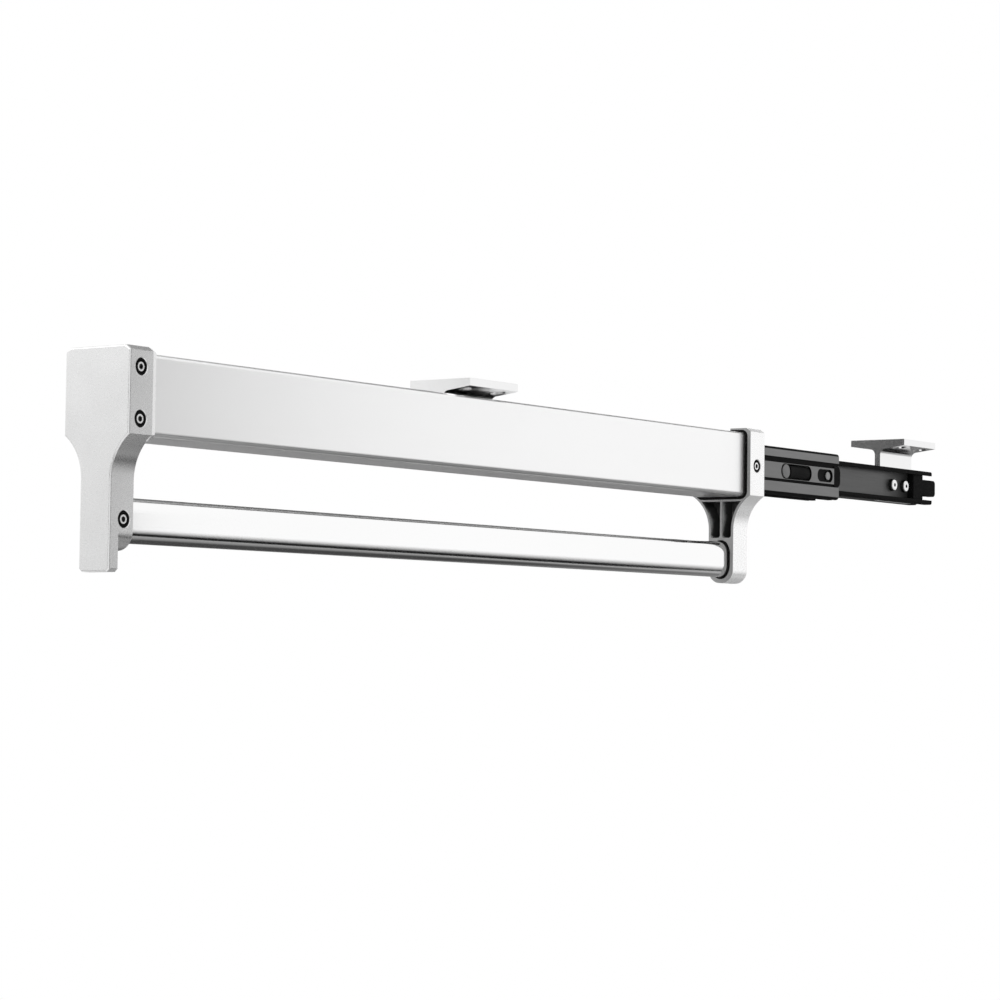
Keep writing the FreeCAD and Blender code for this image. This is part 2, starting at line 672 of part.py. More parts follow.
def middle_channel(name, side):
    label = "middle_channel_" + name
    section = channel(
        MIDDLE_HALF, MIDDLE_FACE, "middle_reach", "middle_wall", "middle_wall", "middle_bend", True
    )
    start = "%s - middle_length" % MIDDLE_END
    run = prism(label + "_run", mirror(section, side), start, "middle_length")
    low_x = "%d * (%s - bead_depth / 2) - bead_depth / 2" % (side, MIDDLE_FACE)
    through_x = "%d * (%s - middle_wall / 2) - middle_wall" % (side, MIDDLE_FACE)
    track_x = "%d * (%s - outer_ball_inset) - %s" % (side, MIDDLE_FACE, OUTER_BALL)
    tools = [
        box(
            label + "_bead_high", low_x, start, level("band_height / 2"),
            "bead_depth", "middle_length", "bead_high",
        ),
        box(
            label + "_bead_low", low_x, start, level("-band_height / 2 - bead_low"),
            "bead_depth", "middle_length", "bead_low",
        ),
        box(
            label + "_end_notch", through_x, "%s - bumper_length + bumper_out" % MIDDLE_END,
            level("-bumper_height / 2"), "2 * middle_wall", "bumper_length", "bumper_height",
        ),
        slot_tool(label + "_window", side, "window_length", "window_height", "window_inset"),
        slot_tool(label + "_port", side, "port_length", "port_height", "port_inset"),
    ]
    for low in (level("%s - track_depth" % MIDDLE_HALF), level("-%s - track_depth" % MIDDLE_HALF)):
        tools.append(
            box(
                label + "_track", track_x, start, low,
                "2 * %s" % OUTER_BALL, "middle_length", "2 * track_depth",
            )
        )
    node(cut(label, run, tools), label)


def end_bumper(name, side):
    label = "middle_end_bumper_" + name
    end = "(%s + bumper_out)" % MIDDLE_END
    low_x = "%d * (%s - middle_wall / 2) - middle_wall / 2" % (side, MIDDLE_FACE)
    block = box(
        label + "_block", low_x, "%s - bumper_length" % end, level("-bumper_height / 2"),
        "middle_wall", "bumper_length - bumper_round", "bumper_height",
    )
    nose = box(
        label + "_nose", low_x, "%s - bumper_length" % end, level("-bumper_height / 2 + bumper_round"),
        "middle_wall", "bumper_length", "bumper_height - 2 * bumper_round",
    )
    corners = [
        rod(
            label + "_corner", "bumper_round", "middle_wall", ACROSS, low_x, "%s - bumper_round" % end,
            level("%d * (bumper_height / 2 - bumper_round)" % upper),
        )
        for upper in (-1, 1)
    ]
    node(fuse(label, [block, nose] + corners), label)


def latch(name, side):
    """The black latch block behind the web, with its disc and rivet."""
    back = "%s - middle_wall - latch_sheet" % MIDDLE_FACE
    front = "%s - middle_wall" % MIDDLE_FACE
    half = "(window_height / 2 - latch_bulge)"
    swell_radius = "(%s ^ 2 + latch_bulge ^ 2) / (2 * latch_bulge)" % half
    window_start = "(%s - window_inset - window_length)" % MIDDLE_END
    start = "(%s - latch_margin)" % window_start
    label = "middle_latch_" + name
    plate = [
        (back, level(half)),
        (front, level(half)),
        (front, level("-" + half)),
        (back, level("-" + half)),
    ]
    body = doc.addObject("PartDesign::Body", label)
    length = "latch_margin + window_length + window_inset - bumper_length + bumper_out"
    add_pad(body, label + "_plate", mirror(plate, side), "0", length)
    swell = [
        (back, level(half)),
        (front, level(half), swell_radius, ROUND),
        (front, level("-" + half)),
        (back, level("-" + half)),
    ]
    swell_start = "latch_margin + disc_inset + disc_diameter + 2 * latch_bulge"
    swell_length = "window_length - disc_inset - disc_diameter - 4 * latch_bulge"
    add_pad(body, label + "_swell", mirror(swell, side), swell_start, swell_length)
    bind(body, "Placement.Base.y", start)
    node(body, label)
    for piece, diameter, height, y in (
        ("disc", "disc_diameter", "disc_sheet", "%s + window_height / 2 + disc_inset" % window_start),
        ("rivet", "rivet_diameter", "rivet_height", "%s - port_inset - rivet_inset" % MIDDLE_END),
    ):
        label = "middle_latch_%s_%s" % (piece, name)
        dome = "(%s) / 2" % height
        outline = [
            (front, "0"),
            (front, "(%s) / 2" % diameter),
            ("%s + %s" % (front, dome), "(%s) / 2" % diameter, dome, ROUND),
            ("%s + (%s)" % (front, height), "(%s) / 2 - %s" % (diameter, dome)),
            ("%s + (%s)" % (front, height), "0"),
        ]
        node(turned(label, mirror(outline, side), y, SLIDE_Z), label)


# Balls in their cages

OUTER_BALL = "((outer_ball_gap + track_depth) / 2 - ball_clearance)"
INNER_BALL = "(inner_ball_gap / 2 - ball_clearance)"


def ball_cage(name, side, stage):
    """A thin channel that carries one row of balls above and one below, and those balls."""
    if stage == "inner":
        radius = INNER_BALL
        row = "(%s + inner_ball_gap / 2)" % FIXED_HALF
        ball_x = "(%s + inner_ball_inset)" % WEB_FACE
        web = "(%s + fixed_reach + 3 * cage_sheet)" % WEB_FACE
        middle = "((%s + %s) / 2 - inner_cage_shift - %s / 4)" % (FIXED_START, FIXED_END, TRAVEL_IN)
    else:
        radius = OUTER_BALL
        row = "(%s - track_depth / 2 + outer_ball_gap / 2)" % MIDDLE_HALF
        ball_x = "(%s - outer_ball_inset)" % MIDDLE_FACE
        web = "(%s + outer_cage_gap / 2 + cage_sheet / 2)" % MIDDLE_FACE
        middle = "((%s + %s) / 2 - 3 * %s / 4)" % (FIXED_START, FIXED_END, TRAVEL_IN)
    tip = "%s - 2 * %s" % (ball_x, radius)
    half = "(%s + cage_sheet / 2)" % row
    bend = "2 * cage_sheet"
    section = channel(half, web, "%s - (%s)" % (web, tip), "cage_sheet", "cage_sheet", bend, True)
    label = "%s_ball_cage_%s" % (stage, name)
    start = "%s - cage_length / 2" % middle
    strip = prism(label + "_strip", mirror(section, side), start, "cage_length")
    seats = []
    balls = []
    for place_number in range(BALL_COUNT):
        spread = "(cage_length - 2 * cage_end) * %d / %d" % (place_number, BALL_COUNT - 1)
        y = "%s + cage_end + %s" % (start, spread)
        x = "%d * %s" % (side, ball_x)
        seats.append(
            rod(
                label + "_seat", "%s + ball_clearance" % radius, "2 * %s + 2 * %s" % (half, radius), UP,
                x, y, level("-%s - %s" % (half, radius)),
            )
        )
        for upper in (-1, 1):
            ball = doc.addObject("Part::Sphere", "%s_ball_%s" % (stage, name))
            bind(ball, "Radius", radius)
            balls.append(place(ball, x, y, level("%d * %s" % (upper, row))))
    node(cut(label, strip, seats), label)
    label = "%s_balls_%s" % (stage, name)
    node(group(label, balls), label)


# Carriage

def outer_channel(name, side):
    label = "outer_channel_" + name
    bend = "(beam_low_round - beam_wall)"
    section = channel(OUTER_HALF, OUTER_FACE, "outer_reach", "outer_wall", "outer_web", bend, True)
    run = prism(label + "_run", mirror(section, side), BEAM_START, BEAM_LENGTH)
    node(cut(label, run, screw_holes(label, side)), label)


def beam():
    section = slotted_sleeve(sleeve_half("0"), sleeve_half("-beam_wall", "-beam_roof"))
    tube = prism("beam_tube", section, BEAM_START, BEAM_LENGTH)
    tools = screw_holes("beam", 1) + screw_holes("beam", -1)
    node(cut("beam", tube, tools), "beam")


def front_bracket():
    body = doc.addObject("PartDesign::Body", "front_bracket_casting")
    neck = "tongue_width"
    tongue = [
        ("tongue_width / 2", "-tongue_bottom + tongue_chamfer"),
        ("tongue_width / 2 - tongue_chamfer", "-tongue_bottom"),
    ]
    add_pad(body, "front_face", both_sides(bracket_half(neck, tongue)), "0", "tongue_depth")
    back_outline = both_sides(bracket_half(neck, boss_ending(neck)))
    add_pad(body, "front_back", back_outline, "tongue_depth", "front_depth - tongue_depth")
    lip_half = bracket_half(neck, [])[:2] + [
        (BRACKET_SIDE, SHOULDER),
        ("%s - lip_drop" % BRACKET_SIDE, "%s - lip_drop" % SHOULDER),
    ]
    lip = add_pad(body, "front_lip", both_sides(lip_half), "front_depth", "lip_length")
    bind(lip, "TaperAngle", "-atan(lip_taper / lip_length)")
    doc.recompute()
    edges = []
    for place_number, edge in enumerate(lip.Shape.Edges, start=1):
        if all(abs(vertex.Point.y) < 1e-4 for vertex in edge.Vertexes):
            edges.append("Edge%d" % place_number)
    soften = body.newObject("PartDesign::Fillet", "front_edges")
    soften.Base = (lip, edges)
    bind(soften, "Radius", "edge_round")
    bind(body, "Placement.Base.y", FRONT_FACE)
    socket = prism(
        "front_socket", both_sides(sleeve_half("socket_fit")), BEAM_START, "front_depth + lip_length",
    )
    bar_socket = prism(
        "front_bar_socket", bar_section("socket_fit"), "%s + front_depth - bar_front_seat" % FRONT_FACE,
        "front_depth",
    )
    tools = [socket, bar_socket]
    for name, side in SIDES:
        tools += front_cups("front_bracket", side) + screw_holes("front_bracket", side)
        tools += bar_cups("front_bracket", side)
    node(cut("front_bracket", body, tools), "front_bracket")


def rear_bracket():
    neck = "rear_neck"
    outline = both_sides(bracket_half(neck, boss_ending(neck)))
    body = prism("rear_bracket_casting", outline, REAR_FACE, "rear_depth")
    before = "(%s - rear_depth)" % REAR_FACE
    collar = prism("rear_collar", both_sides(sleeve_half("liner_wall")), before, "3 * rear_depth")
    slot = box(
        "rear_slot", "-%s / 2" % COLLAR_SLOT, before, "-beam_top - liner_wall",
        COLLAR_SLOT, "3 * rear_depth", "beam_top + liner_wall",
    )
    seat_run = "rear_depth + bar_rear_seat"
    bar_socket = prism("rear_bar_socket", bar_section("socket_fit"), before, seat_run)
    shadow_run = "rear_depth + bar_shadow_depth"
    shadow = prism("rear_bar_recess", bar_section("bar_shadow_gap"), before, shadow_run)
    pocket_top = "%s - liner_wall - pocket_roof" % BEAM_BOTTOM
    pocket_low = "%s + pocket_rim + bar_shadow_gap" % BAR_TOP
    throat_x = "(rear_neck / 2 + %s)" % throat_radius(neck)
    rim_radius = "(%s + pocket_rim)" % throat_radius(neck)
    top_x = "%s - sqrt(%s ^ 2 - (%s - %s) ^ 2)" % (throat_x, rim_radius, pocket_top, THROAT_LOW)
    pocket = [
        ("pocket_rib / 2", pocket_top),
        (top_x, pocket_top, rim_radius, HOLLOW),
        ("rear_neck / 2 - pocket_rim", THROAT_LOW),
        ("rear_neck / 2 - pocket_rim", "%s + pocket_round" % pocket_low, "pocket_round", ROUND),
        ("rear_neck / 2 - pocket_rim - pocket_round", pocket_low),
        ("pocket_rib / 2 + pocket_round", pocket_low, "pocket_round", ROUND),
        ("pocket_rib / 2", "%s + pocket_round" % pocket_low),
    ]
    tools = [collar, slot, bar_socket, shadow]
    for name, side in SIDES:
        tools.append(
            prism("rear_pocket_" + name, mirror(pocket, side), before, "rear_depth + pocket_depth")
        )
        tools += rear_cups("rear_bracket", side) + screw_holes("rear_bracket", side)
    node(cut("rear_bracket", body, tools), "rear_bracket")


def collar_liner():
    section = slotted_sleeve(
        sleeve_half("liner_wall", slot=COLLAR_SLOT), sleeve_half("0", slot=COLLAR_SLOT)
    )
    ring = prism("collar_liner_ring", section, REAR_FACE, "rear_depth")
    tools = []
    for name, side in SIDES:
        tools += rear_cups("collar_liner", side) + screw_holes("collar_liner", side)
    node(cut("collar_liner", ring, tools), "collar_liner")


def clothes_bar():
    start = "%s + front_depth - bar_front_seat" % FRONT_FACE
    length = "carriage_length - front_depth - rear_depth + bar_front_seat + bar_rear_seat"
    outside = prism("bar_outside", bar_section("0"), start, length)
    inside_start = "%s - bar_wall" % start
    inside = prism("bar_inside", bar_section("-bar_wall"), inside_start, "%s + 2 * bar_wall" % length)
    tools = [inside]
    for name, side in SIDES:
        tools.append(bar_screw_hole("clothes_bar", side))
    node(cut("clothes_bar", outside, tools), "clothes_bar")


# Side screws: a black cup in the bracket's side, and a screw in the cup

FRONT_SCREWS = [
    ("%s + front_screw_back" % FRONT_FACE, "-bracket_top - front_screw_drop - %d * front_screw_pitch" % row)
    for row in (0, 1)
]
REAR_SCREW = ("%s + rear_depth / 2" % REAR_FACE, SLIDE_Z)
BAR_SCREW = ("%s + bar_screw_back" % FRONT_FACE, "-bar_centre")
SCREW_POINT = "(%s - outer_web)" % OUTER_FACE


def across_rod(name, side, radius, outer, inner, y, z):
    """A rod across the rail on one side, between two distances from the rail's middle."""
    low_x = inner if side > 0 else "-(%s)" % outer
    return rod(name, radius, "(%s) - (%s)" % (outer, inner), ACROSS, low_x, y, z)


def screw_holes(name, side):
    past = "%s - outer_cage_gap / 2" % SCREW_POINT
    holes = []
    for y, z in FRONT_SCREWS + [REAR_SCREW]:
        holes.append(across_rod(name + "_screw_hole", side, "screw_shank / 2", BRACKET_SIDE, past, y, z))
    return holes


def bar_screw_hole(name, side):
    return across_rod(
        name + "_screw_hole", side, "screw_shank / 2", NECK_SIDE, "bar_width / 2 - 2 * bar_wall", *BAR_SCREW
    )


def cup_hole(name, side, face, spot):
    """The hole for a cup, chamfered at the bracket's face."""
    floor = "%s - screw_cup_depth" % face
    past = "%s + screw_cup_depth" % face
    outline = [
        (floor, "0"),
        (floor, "screw_cup / 2"),
        ("%s - cup_chamfer" % face, "screw_cup / 2"),
        (past, "screw_cup / 2 + cup_chamfer + screw_cup_depth"),
        (past, "0"),
    ]
    return turned(name + "_cup_hole", mirror(outline, side), *spot)


def front_cups(name, side):
    return [cup_hole(name, side, BRACKET_SIDE, spot) for spot in FRONT_SCREWS]


def rear_cups(name, side):
    return [cup_hole(name, side, BRACKET_SIDE, REAR_SCREW)]


def bar_cups(name, side):
    return [cup_hole(name, side, NECK_SIDE, BAR_SCREW), bar_screw_hole(name, side)]


def side_screws(name, spots, face, point):
    """Cups and screws, the same on both sides."""
    cups = []
    screws = []
    floor = "(%s - screw_cup_depth)" % face
    head = "(%s + screw_cup_floor)" % floor
    rim = "(screw_cup / 2 - screw_cup_floor)"
    for side_name, side in SIDES:
        for y, z in spots:
            outline = [
                (floor, "screw_shank / 2"),
                (floor, "screw_cup / 2"),
                (face, "screw_cup / 2"),
                (face, rim),
                (head, "%s - screw_cup_floor" % rim),
                (head, "screw_shank / 2"),
            ]
            cups.append(turned(name + "_cup", mirror(outline, side), y, z))
            top = "%s + screw_head_height" % head
            outline = [
                (point, "0"),
                (point, "screw_shank / 2"),
                (head, "screw_shank / 2"),
                (head, "screw_head / 2"),
                (top, "screw_head / 2"),
                (top, "0"),
            ]
            blank = turned(name + "_screw_blank", mirror(outline, side), y, z)
            key_x = "%s - screw_key_depth" % top if side > 0 else "-(%s) - screw_key_depth" % top
            key = hexagon(name + "_screw_key", "screw_key", "2 * screw_key_depth", key_x, y, z)
            screws.append(cut(name + "_screw", blank, [key]))
    node(group(name + "_screw_cups", cups), name + "_screw_cups")
    node(group(name + "_screws", screws), name + "_screws")


for end in ENDS:
    hanger(end)
channel_bolts()
for name, side in SIDES:
    fixed_channel(name, side)
    rear_stop(name, side)
    middle_channel(name, side)
    end_bumper(name, side)
    latch(name, side)
    ball_cage(name, side, "inner")
    ball_cage(name, side, "outer")
    outer_channel(name, side)
beam()
front_bracket()
rear_bracket()
collar_liner()
clothes_bar()
side_screws("front_bracket", FRONT_SCREWS, BRACKET_SIDE, SCREW_POINT)
side_screws("rear_bracket", [REAR_SCREW], BRACKET_SIDE, SCREW_POINT)
side_screws("bar", [BAR_SCREW], NECK_SIDE, "bar_width / 2 - bar_wall")
doc.recompute()

faults = []
for thing in doc.Objects:
    if "Invalid" in thing.State or "Error" in thing.State:
        faults.append("%s: %s" % (thing.Name, thing.State))
for thing in nodes:
    if thing.Shape.isNull() or not thing.Shape.isValid():
        faults.append("%s: shape is null or not valid" % thing.Label)
if faults:
    raise SystemExit("\n".join(faults))

os.makedirs("parts", exist_ok=True)
for thing in nodes:
    thing.Shape.exportStep("parts/%s.step" % thing.Label)
print("%d nodes written" % len(nodes))
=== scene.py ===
import json
import math

import bpy
from mathutils import Matrix, Vector


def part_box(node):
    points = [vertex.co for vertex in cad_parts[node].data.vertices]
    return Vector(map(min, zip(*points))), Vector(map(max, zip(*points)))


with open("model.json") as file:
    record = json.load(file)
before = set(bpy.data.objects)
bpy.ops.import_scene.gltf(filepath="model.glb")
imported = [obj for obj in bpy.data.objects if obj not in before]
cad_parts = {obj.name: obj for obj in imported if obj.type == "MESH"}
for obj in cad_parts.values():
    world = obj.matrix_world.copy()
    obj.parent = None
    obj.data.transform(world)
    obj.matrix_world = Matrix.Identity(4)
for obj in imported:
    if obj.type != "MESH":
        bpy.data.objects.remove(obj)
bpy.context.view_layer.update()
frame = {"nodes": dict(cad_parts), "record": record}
MM = 0.001
# A piece's box is its low and its high corner, each by axis
LOW, HIGH = 0, 1
X, Y = 0, 1

# Camera, as fitted to the photograph
CAMERA_PLACE = Vector((0.94776, -1.50925, -0.14656))
CAMERA_AZIMUTH = math.radians(36.0)
CAMERA_TILT_UP = math.radians(3.03)
CAMERA_ROLL = math.radians(0.78)
FOCAL_LENGTH_PIXELS = 2975.41
IMAGE_SIDE_PIXELS = 1000
SENSOR_MM = 36.0

# Studio, in metres and in shades from 0 for black to 1 for white
WHITE = (1.0, 1.0, 1.0, 1.0)
FLOOR_DROP = 1.9
FLOOR_HALF = 9.0
FLOOR_SHADE = 0.95
MATT_ROUGHNESS = 0.9
MATT_GLOSS = 0.1
KEY_PLACE = (-1.2, -2.2, 1.2)
KEY_AIM = (0, -0.2, -0.05)
KEY_SIDE = 1.5
KEY_WATTS = 12
# Upright cards that the metal mirrors: two ends on plan, and height and shade of the lower and upper edge
CARDS = (
    ("side_card", (0.903, 0.435), (1.35, -0.75), (-0.70, 0.30), (0.70, 0.30)),
    ("dark_card", (1.15, 0.35), (0.66, 1.50), (-0.93, 0.01), (-0.68, 0.01)),
    ("fading_card", (1.15, 0.35), (0.55, 1.75), (-0.68, 0.01), (-0.20, 0.95)),
    ("left_card", (-1.75, 0.70), (-0.47, 1.90), (-0.80, 0.20), (0.12, 0.20)),
    ("upper_card", (-1.50, 1.10), (0.35, 1.75), (0.80, 0.06), (1.80, 0.06)),
    ("low_card", (-2.60, -0.40), (-0.80, -2.60), (-1.50, 0.25), (-0.20, 0.80)),
    ("low_right_card", (2.60, -0.40), (0.80, -2.60), (-1.50, 0.25), (-0.20, 0.80)),
    ("front_card", (-4.36, -6.47), (-1.66, -7.59), (-0.90, 0.02), (2.00, 0.02)),
)
# A card that lies below and behind the rail, and the two grades that its grey is the sum of
APRON_ACROSS = (-1.6, 1.6)
APRON_ALONG = (0.3, 2.8)
APRON_DROP = 0.95
APRON_GRADES = (("X", (0.2, 0.05), (0.9, 0.34)), ("Y", (1.0, 0.0), (1.5, 0.15)))

# Noise: the range that most of it lies in, and how the patches differ from the fine grain
NOISE_LOW = 0.3
NOISE_HIGH = 0.7
GRAIN_DETAIL = 3.0
PATCH_DETAIL = 2.0
PATCH_SEED = 3.0


# Node helpers

def connect(tree, value, socket):
    """Sets a node's input, or links it where the value is another node's output."""
    if isinstance(value, bpy.types.NodeSocket):
        tree.links.new(value, socket)
    else:
        socket.default_value = value


def add(tree, kind, **inputs):
    """A new node, with its inputs by name."""
    node = tree.nodes.new(kind)
    for name, value in inputs.items():
        connect(tree, value, node.inputs[name.replace("_", " ")])
    return node


def calculate(tree, operation, *values):
    node = tree.nodes.new("ShaderNodeMath")
    node.operation = operation
    for socket, value in zip(node.inputs, values):
        connect(tree, value, socket)
    return node.outputs["Value"]


def shader_nodes(name):
    """A new material, its node tree and its main shader."""
    material = bpy.data.materials.new(name)
    material.use_nodes = True
    tree = material.node_tree
    return material, tree, tree.nodes["Principled BSDF"]


def grey(shade):
    return (shade, shade, shade, 1.0)


def own_place(tree):
    return tree.nodes.new("ShaderNodeTexCoord").outputs["Object"]


def along(tree, axis):
    """A point's place along an axis of the frame."""
    return add(tree, "ShaderNodeSeparateXYZ", Vector=own_place(tree)).outputs[axis]


def from_middle(tree):
    """How far a point lies from the rail's middle plane."""
    return calculate(tree, "ABSOLUTE", along(tree, "X"))


def grain(tree, scale, detail=GRAIN_DETAIL, seed=0.0):
    """Noise in the piece's own space, with a scale in cells per metre for each axis."""
    stretch = add(tree, "ShaderNodeMapping", Vector=own_place(tree), Location=(seed, seed, seed), Scale=scale)
    return add(
        tree, "ShaderNodeTexNoise", Vector=stretch.outputs["Vector"], Scale=1.0, Detail=detail
    ).outputs["Fac"]


def even(cells):
    """A grain scale that is the same along every axis."""
    return (cells, cells, cells)


def drawn(across, lengthwise):
    """A grain scale that is stretched along the rail."""
    return (across, lengthwise, across)


def spread(tree, source, low, high, source_low=NOISE_LOW, source_high=NOISE_HIGH):
    """A range of the source spread over low to high, and held there outside it."""
    return add(
        tree, "ShaderNodeMapRange", Value=source, From_Min=source_low, From_Max=source_high,
        To_Min=low, To_Max=high,
    ).outputs["Result"]


def rising(tree, source, start, end):
    """0 where the source is below start, and 1 where it is above end."""
    return spread(tree, source, 0.0, 1.0, start, end)


def falling(tree, source, start, end):
    """1 where the source is below start, and 0 where it is above end."""
    return spread(tree, source, 1.0, 0.0, start, end)


def tones(tree, source, dark, light):
    """A grey that goes from dark to light with the source."""
    ramp = add(tree, "ShaderNodeValToRGB", Fac=source)
    steps = ((NOISE_LOW, dark), (NOISE_HIGH, light))
    for element, (position, shade) in zip(ramp.color_ramp.elements, steps):
        element.position = position
        element.color = grey(shade)
    return ramp.outputs["Color"]


def relief(tree, shader, height, depth):
    """Surface relief of the given depth in metres."""
    bump = add(tree, "ShaderNodeBump", Strength=1.0, Distance=depth, Height=height)
    tree.links.new(bump.outputs["Normal"], shader.inputs["Normal"])


# Finishes

def finish_of(name, metallic, shades, rough, grain_scale, depth, patch_scale, gloss=0.5):
    """A finish whose tone drifts in patches and whose roughness and relief follow a finer grain."""
    material, tree, shader = shader_nodes(name)
    shader.inputs["Metallic"].default_value = metallic
    shader.inputs["Specular IOR Level"].default_value = gloss
    patches = grain(tree, patch_scale, detail=PATCH_DETAIL, seed=PATCH_SEED)
    fine = grain(tree, grain_scale)
    tree.links.new(tones(tree, patches, *shades), shader.inputs["Base Color"])
    tree.links.new(spread(tree, fine, *rough), shader.inputs["Roughness"])
    relief(tree, shader, fine, depth)
    return material


def source_of(socket):
    """What feeds a socket: another node's output, or its own value."""
    return socket.links[0].from_socket if socket.links else socket.default_value


def paint_shade_over(material, unshaded, shade, metallic, rough):
    """Paints a darker shade over a material, everywhere but where the mask is 1."""
    tree = material.node_tree
    shader = tree.nodes["Principled BSDF"]
    colour = tree.nodes.new("ShaderNodeMix")
    colour.data_type = "RGBA"
    factor, first, second = (
        next(socket for socket in colour.inputs if (socket.name, socket.type) == wanted and socket.enabled)
        for wanted in (("Factor", "VALUE"), ("A", "RGBA"), ("B", "RGBA"))
    )
    connect(tree, unshaded, factor)
    connect(tree, grey(shade), first)
    connect(tree, source_of(shader.inputs["Base Color"]), second)
    mixed = next(socket for socket in colour.outputs if socket.type == "RGBA")
    tree.links.new(mixed, shader.inputs["Base Color"])
    for name, value in (("Metallic", metallic), ("Roughness", rough)):
        change = calculate(tree, "SUBTRACT", source_of(shader.inputs[name]), value)
        tree.links.new(calculate(tree, "MULTIPLY_ADD", change, unshaded, value), shader.inputs[name])


# Painted black shade, in pressed lines, round bends, in sockets and below screw heads
BLACK_SHADE = dict(shade=0.004, metallic=0.0, rough=0.6)
# Painted shade, darker and duller, on the rear bracket's front face
FRONT_FACE_SHADE = dict(shade=0.28, metallic=0.3, rough=0.5)
# Painted shade in a casting's hollows, and how far round the occlusion looks for them
HOLLOW_SHADE = dict(shade=0.04, metallic=0.2, rough=0.7)
HOLLOW_SIZE = 12 * MM


def paint_hollow_shade(material, shut, clear, alone):
    """Paints shade into a casting's hollows, found by ambient occlusion, which its neighbours help to shut
    unless it is alone.
    """
    tree = material.node_tree
    hollow = add(tree, "ShaderNodeAmbientOcclusion", Distance=HOLLOW_SIZE)
    hollow.only_local = alone
    paint_shade_over(material, rising(tree, hollow.outputs["AO"], shut, clear), **HOLLOW_SHADE)


def casting(name, metallic, shades):
    return finish_of(
        name, metallic, shades, rough=(0.26, 0.30),
        grain_scale=even(2500), depth=0.0003 * MM, patch_scale=even(60),
    )


def cast_bracket():
    """A satin silver casting, with painted shade in its hollows."""
    material = casting("cast_bracket", metallic=1.0, shades=(0.76, 0.79))
    # Painted shade in the hollows
    paint_hollow_shade(material, shut=0.22, clear=0.42, alone=True)
    return material


def rear_bracket_alloy():
    """A paler casting than the front bracket, its paleness painted light, with painted shade that makes the
    face the beam and the bar run into darker and duller.
    """
    material = casting("rear_bracket_alloy", metallic=0.6, shades=(0.94, 0.96))
    tree = material.node_tree
    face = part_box("rear_bracket")[LOW][Y]
    # Painted shade on the face that the beam and the bar run into
    unshaded = rising(tree, along(tree, "Y"), face + 0.3 * MM, face + 0.5 * MM)
    paint_shade_over(material, unshaded, **FRONT_FACE_SHADE)
    # Painted shade in the hollows, and where the beam and the bar close in on them
    paint_hollow_shade(material, shut=0.38, clear=0.58, alone=False)
    return material


def anodised_beam():
    return finish_of(
        "anodised_beam", metallic=1.0, shades=(0.945, 0.965), rough=(0.28, 0.31),
        grain_scale=drawn(6000, 30), depth=0.00012 * MM, patch_scale=drawn(20, 4),
    )


def hanger_alloy():
    return finish_of(
        "hanger_alloy", metallic=1.0, shades=(0.87, 0.90), rough=(0.13, 0.16),
        grain_scale=drawn(3000, 40), depth=0.0005 * MM, patch_scale=drawn(40, 20),
    )


def polished_bar():
    return finish_of(
        "polished_bar", metallic=1.0, shades=(0.96, 0.975), rough=(0.09, 0.11),
        grain_scale=drawn(6000, 20), depth=0.0001 * MM, patch_scale=drawn(20, 4),
    )


def slide_steel(name, shades):
    return finish_of(
        name, metallic=0.9, shades=shades, rough=(0.30, 0.40),
        grain_scale=drawn(1200, 40), depth=0.002 * MM, patch_scale=drawn(80, 12), gloss=0.03,
    )


def black_slide_steel():
    return slide_steel("black_slide_steel", shades=(0.05, 0.07))


def middle_channel_steel():
    """Grey on the web's outer face, with painted black shade in the pressed lines and round the bends."""
    material = slide_steel("middle_channel_steel", shades=(0.16, 0.19))
    tree = material.node_tree
    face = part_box("middle_channel_right")[HIGH][X]
    unshaded = rising(tree, from_middle(tree), face - 0.10 * MM, face - 0.05 * MM)
    # Painted black shade everywhere off the web's outer face
    paint_shade_over(material, unshaded, **BLACK_SHADE)
    return material


def fixed_channel_steel():
    """Dark grey on the web, with painted black shade on the flanges and lips and towards the rear stop."""
    material = slide_steel("fixed_channel_steel", shades=(0.085, 0.105))
    tree = material.node_tree
    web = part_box("channel_rear_stop_right")[LOW][X]
    hanger_front, hanger_rear = (corner[Y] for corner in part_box("rear_hanger"))
    on_web = falling(tree, from_middle(tree), web + 0.2 * MM, web + 0.6 * MM)
    ahead_of_stop = falling(tree, along(tree, "Y"), hanger_front, hanger_rear)
    # Painted black shade off the web and behind the rear hanger's front
    paint_shade_over(material, calculate(tree, "MULTIPLY", on_web, ahead_of_stop), **BLACK_SHADE)
    return material


def dark_steel():
    return finish_of(
        "dark_steel", metallic=1.0, shades=(0.14, 0.18), rough=(0.32, 0.42),
        grain_scale=even(900), depth=0.003 * MM, patch_scale=even(80),
    )


def bright_steel(name="bright_steel"):
    return finish_of(
        name, metallic=1.0, shades=(0.80, 0.88), rough=(0.18, 0.28),
        grain_scale=even(1200), depth=0.002 * MM, patch_scale=even(120),
    )


def socket_screw_steel(node, rim):
    """Bright on the heads' faces, with painted black shade in the sockets and below the heads' rims."""
    material = bright_steel(node + "_steel")
    tree = material.node_tree
    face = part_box(node)[HIGH][X]
    unshaded = rising(tree, from_middle(tree), face - rim, face - 0.7 * rim)
    # Painted black shade below the heads' faces
    paint_shade_over(material, unshaded, **BLACK_SHADE)
    return material


def rivet_steel():
    return finish_of(
        "rivet_steel", metallic=1.0, shades=(0.22, 0.28), rough=(0.12, 0.18),
        grain_scale=even(1200), depth=0.002 * MM, patch_scale=even(120),
    )


def ball_steel():
    return finish_of(
        "ball_steel", metallic=1.0, shades=(0.82, 0.88), rough=(0.06, 0.12),
        grain_scale=even(900), depth=0.0005 * MM, patch_scale=even(120),
    )


def black_plastic():
    return finish_of(
        "black_plastic", metallic=0.0, shades=(0.003, 0.006), rough=(0.50, 0.65),
        grain_scale=even(2400), depth=0.006 * MM, patch_scale=even(90), gloss=0.05,
    )


